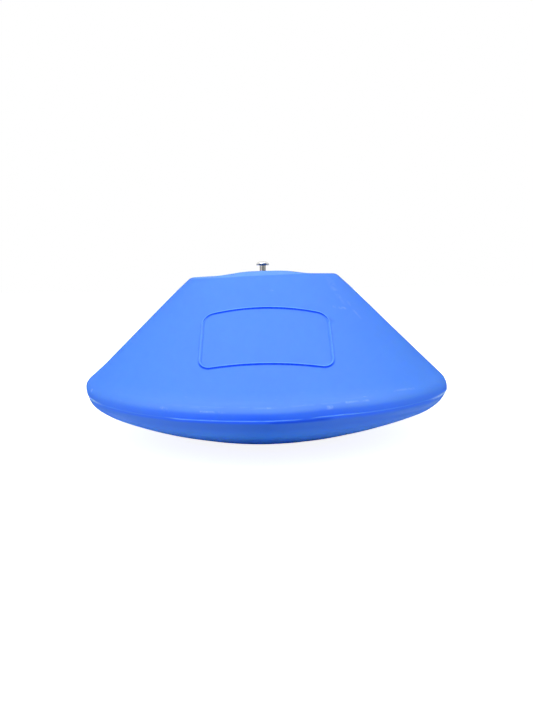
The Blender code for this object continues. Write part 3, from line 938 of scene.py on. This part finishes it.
def recess_blade(sizes, turn):
    """One tapered arm of the cross recess, as a closed block to be cut away."""
    half = (sizes.recess_span / 2, sizes.recess_width / 2, sizes.recess_depth)
    corners = [Vector((x * half[0], y * half[1], z * half[2])) for z in (1, -1) for x, y in SQUARE]
    for corner in corners[4:]:
        corner.x *= sizes.recess_taper
        corner.y *= sizes.recess_taper
    faces = [(0, 1, 2, 3), (7, 6, 5, 4), (0, 4, 5, 1), (1, 5, 6, 2), (2, 6, 7, 3), (3, 7, 4, 0)]
    mesh = bpy.data.meshes.new("recess_blade")
    mesh.from_pydata(corners, [], faces)
    blade = linked("recess_blade", mesh)
    blade.matrix_world = Matrix.Translation((0, 0, STUD_HIGH.z)) @ Matrix.Rotation(turn, 4, "Z")
    return blade


def cut_away(target, cutter):
    """Cut one object out of another, weld the doubled points and remove the cutter."""
    modifier = target.modifiers.new("recess", "BOOLEAN")
    modifier.operation = "DIFFERENCE"
    modifier.solver = "EXACT"
    modifier.object = cutter
    graph = bpy.context.evaluated_depsgraph_get()
    mesh = bpy.data.meshes.new_from_object(target.evaluated_get(graph))
    edited = bmesh.new()
    edited.from_mesh(mesh)
    bmesh.ops.remove_doubles(edited, verts=edited.verts, dist=WELD)
    edited.to_mesh(mesh)
    edited.free()
    target.modifiers.clear()
    target.data = mesh
    bpy.data.objects.remove(cutter)


class NETFLOAT_OT_stud(bpy.types.Operator):
    """Rebuild the headed stud with soft edges and its cross recess"""

    bl_idname = "net_float.stud"
    bl_label = "Headed Stud"

    def execute(self, context):
        sizes = context.scene.net_float_stud
        azimuths = np.linspace(0.0, 2 * math.pi, STUD_COLUMNS + 1)[:-1]
        mesh = turned_mesh("headed_stud_fine", stud_section(sizes), azimuths)
        stud = linked("headed_stud_fine", mesh, steel_material(sizes))
        for turn in (sizes.recess_turn, sizes.recess_turn + math.pi / 2):
            cut_away(stud, recess_blade(sizes, turn))
        stud.data.set_sharp_from_angle(angle=SHARP_ANGLE)
        stud.data.transform(Matrix.Translation((FITTING_SIDE, 0, 0)))
        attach(stud, BODY)
        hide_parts("headed_stud")
        return {"FINISHED"}


class NETFLOAT_OT_insert(bpy.types.Operator):
    """Set the moulded-in insert under the stud and give it its brass"""

    bl_idname = "net_float.insert"
    bl_label = "Threaded Insert"

    def execute(self, context):
        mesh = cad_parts["threaded_insert"].data.copy()
        mesh.transform(Matrix.Translation((FITTING_SIDE, 0, 0)))
        mesh.materials.clear()
        insert = linked("threaded_insert_fine", mesh, brass_material(context.scene.net_float_stud))
        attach(insert, BODY)
        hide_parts("threaded_insert")
        return {"FINISHED"}


def floor_material(settings):
    """A white floor that keeps its shadow and shows white to the camera and in reflections."""
    nodes = Nodes(bpy.data.materials.new("white_floor"))
    shown = nodes.seen_by("Camera", "Glossy")
    shade = nodes.noise(nodes.place(), 6.0, detail=2.0)
    colour = nodes.mix(shade, (0.84, 0.84, 0.84), (0.86, 0.86, 0.86))
    inputs = {
        "Base Color": colour,
        "Roughness": 0.9,
        "Specular IOR Level": 0.0,
        "Emission Color": (1.0, 1.0, 1.0),
        "Emission Strength": shown * settings.floor_white,
    }
    return nodes.finish(inputs)


def room_world(settings):
    """An even room that the camera and reflections see as white."""
    world = bpy.data.worlds.new("white_room")
    nodes = Nodes(world)
    shown = nodes.seen_by("Camera", "Glossy", "Transmission")
    strength = shown * (1.0 - settings.room_light) + settings.room_light
    background = nodes.add("ShaderNodeBackground", {}, {"Color": (1.0, 1.0, 1.0), "Strength": strength})
    nodes.add("ShaderNodeOutputWorld", {}, {"Surface": background})
    return world


def soft_box(name, place, target, size, power):
    """A rectangular area lamp aimed at a point."""
    lamp = bpy.data.lights.new(name, "AREA")
    lamp.shape = "RECTANGLE"
    lamp.size, lamp.size_y = size
    lamp.energy = power
    box = linked(name, lamp)
    box.location = place
    box.rotation_mode = "QUATERNION"
    box.rotation_quaternion = (Vector(target) - Vector(place)).to_track_quat("-Z", "Y")


def add_camera(settings):
    camera = bpy.data.cameras.new("photo_camera")
    camera.sensor_width = 36.0
    camera.lens = settings.lens
    holder = linked("photo_camera", camera)
    place = Vector((0.0, -settings.camera_distance, settings.camera_height))
    aim = Vector((settings.aim_side, 0.0, settings.aim_height))
    look = (aim - place).to_track_quat("-Z", "Y").to_matrix().to_4x4()
    holder.matrix_world = Matrix.Translation(place) @ look @ Matrix.Rotation(settings.camera_roll, 4, "Z")
    bpy.context.scene.camera = holder


class NETFLOAT_OT_stage(bpy.types.Operator):
    """Set the white floor, the soft boxes, the room and the camera"""

    bl_idname = "net_float.stage"
    bl_label = "Studio Stage"

    def execute(self, context):
        settings = context.scene.net_float_stage
        mesh = bpy.data.meshes.new("studio_floor")
        corners = [(x * FLOOR_HALF, y * FLOOR_HALF, 0) for x, y in SQUARE]
        mesh.from_pydata(corners, [], [(0, 1, 2, 3)])
        floor = linked("studio_floor", mesh, floor_material(settings))
        context.scene.world = room_world(settings)
        soft_box("overhead_box", (-0.12, -0.40, 1.25), (0, 0, 0.1), (1.3, 1.3), settings.overhead_power)
        soft_box("front_box", (-0.10, -1.05, 1.15), (0, 0, 0.06), (1.6, 0.45), settings.front_power)
        add_camera(settings)
        context.scene.view_settings.view_transform = "Standard"
        return {"FINISHED"}


class NETFLOAT_PT_panel(bpy.types.Panel):
    """The float's steps in the sidebar"""

    bl_idname = "NETFLOAT_PT_panel"
    bl_label = "Net Float"
    bl_space_type = "VIEW_3D"
    bl_region_type = "UI"
    bl_category = "Net Float"

    def draw(self, context):
        for operator in OPERATORS:
            self.layout.operator(operator.bl_idname)
        for setting in SETTINGS:
            group = getattr(context.scene, setting)
            box = self.layout.box()
            for name in group.bl_rna.properties.keys():
                if name not in ("rna_type", "name"):
                    box.prop(group, name)


SETTINGS = {
    "net_float_body": FloatBodySettings,
    "net_float_stud": StudSettings,
    "net_float_stage": StageSettings,
}
OPERATORS = (NETFLOAT_OT_body, NETFLOAT_OT_stud, NETFLOAT_OT_insert, NETFLOAT_OT_stage)
CLASSES = (*SETTINGS.values(), *OPERATORS, NETFLOAT_PT_panel)


def register():
    for cls in CLASSES:
        bpy.utils.register_class(cls)
    for name, group in SETTINGS.items():
        setattr(bpy.types.Scene, name, PointerProperty(type=group))


def unregister():
    for name in SETTINGS:
        delattr(bpy.types.Scene, name)
    for cls in reversed(CLASSES):
        bpy.utils.unregister_class(cls)


def main():
    register()
    bpy.ops.net_float.body()
    bpy.ops.net_float.stud()
    bpy.ops.net_float.insert()
    bpy.ops.net_float.stage()


if __name__ == "__main__":
    main()
